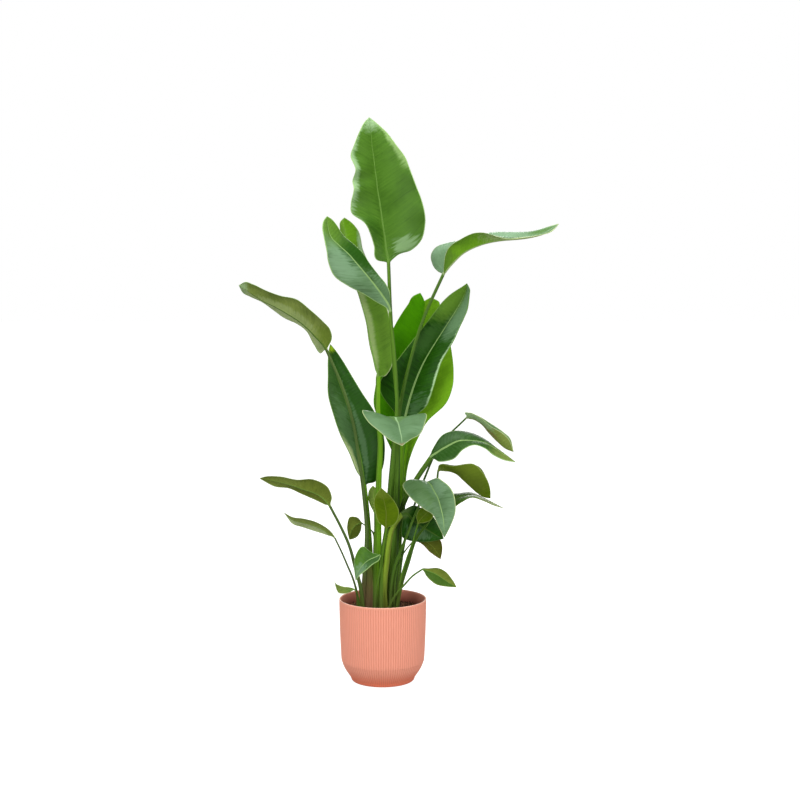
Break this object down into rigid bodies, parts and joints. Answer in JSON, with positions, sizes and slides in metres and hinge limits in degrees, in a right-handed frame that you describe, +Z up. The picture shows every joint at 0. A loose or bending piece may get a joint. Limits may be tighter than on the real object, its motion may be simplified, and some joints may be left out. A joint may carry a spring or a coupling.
{
  "type": "potted bird of paradise",
  "caption": "Tall bird of paradise plant with large paddle leaves on long upright stalks, in a round ribbed plastic pot filled with soil.",
  "frame": {"origin": "centre of the pot's underside, on the floor", "axes": "+Z up along the pot's axis, +X to the right and -Y towards the viewer of the picture"},
  "size_m": [0.7742, 0.3178, 1.4092],
  "materials": {
    "pot_plastic": "ribbed, matt, salmon pink",
    "soil": "loose dark brown potting soil with lighter chips",
    "leaf_green": "satin mid green leaf with a paler midrib",
    "leaf_dark": "glossy dark green leaf with a paler midrib",
    "leaf_glaucous": "leaf with a greyish bloom",
    "leaf_young": "satin yellow green young leaf",
    "leaf_brown": "olive brown ageing leaf"
  },
  "bodies": {
    "root": {"pot": "pot_plastic", "soil": "soil", "leaf_top": "leaf_green", "leaf_upper_left_front": "leaf_glaucous", "leaf_upper_left_back": "leaf_green", "leaf_left_arching": "leaf_green", "leaf_left_upright": "leaf_dark", "leaf_right_reaching": "leaf_glaucous", "leaf_back_tall": "leaf_young", "leaf_right_dark": "leaf_dark", "leaf_front_cupped": "leaf_glaucous", "leaf_right_folded": "leaf_green", "leaf_right_domed": "leaf_green", "leaf_right_drooping": "leaf_green", "leaf_right_narrow": "leaf_green", "leaf_front_large": "leaf_glaucous", "leaf_front_dark": "leaf_dark", "leaf_hanging_brown": "leaf_brown", "leaf_low_right": "leaf_green", "leaf_low_left": "leaf_green", "leaf_low_left_narrow": "leaf_green", "leaf_small_left": "leaf_green", "leaf_low_front": "leaf_glaucous", "leaf_rim_left": "leaf_green", "leaf_front_upright": "leaf_young", "leaf_small_round": "leaf_young", "leaf_small_under": "leaf_young"}
  },
  "joints": []
}
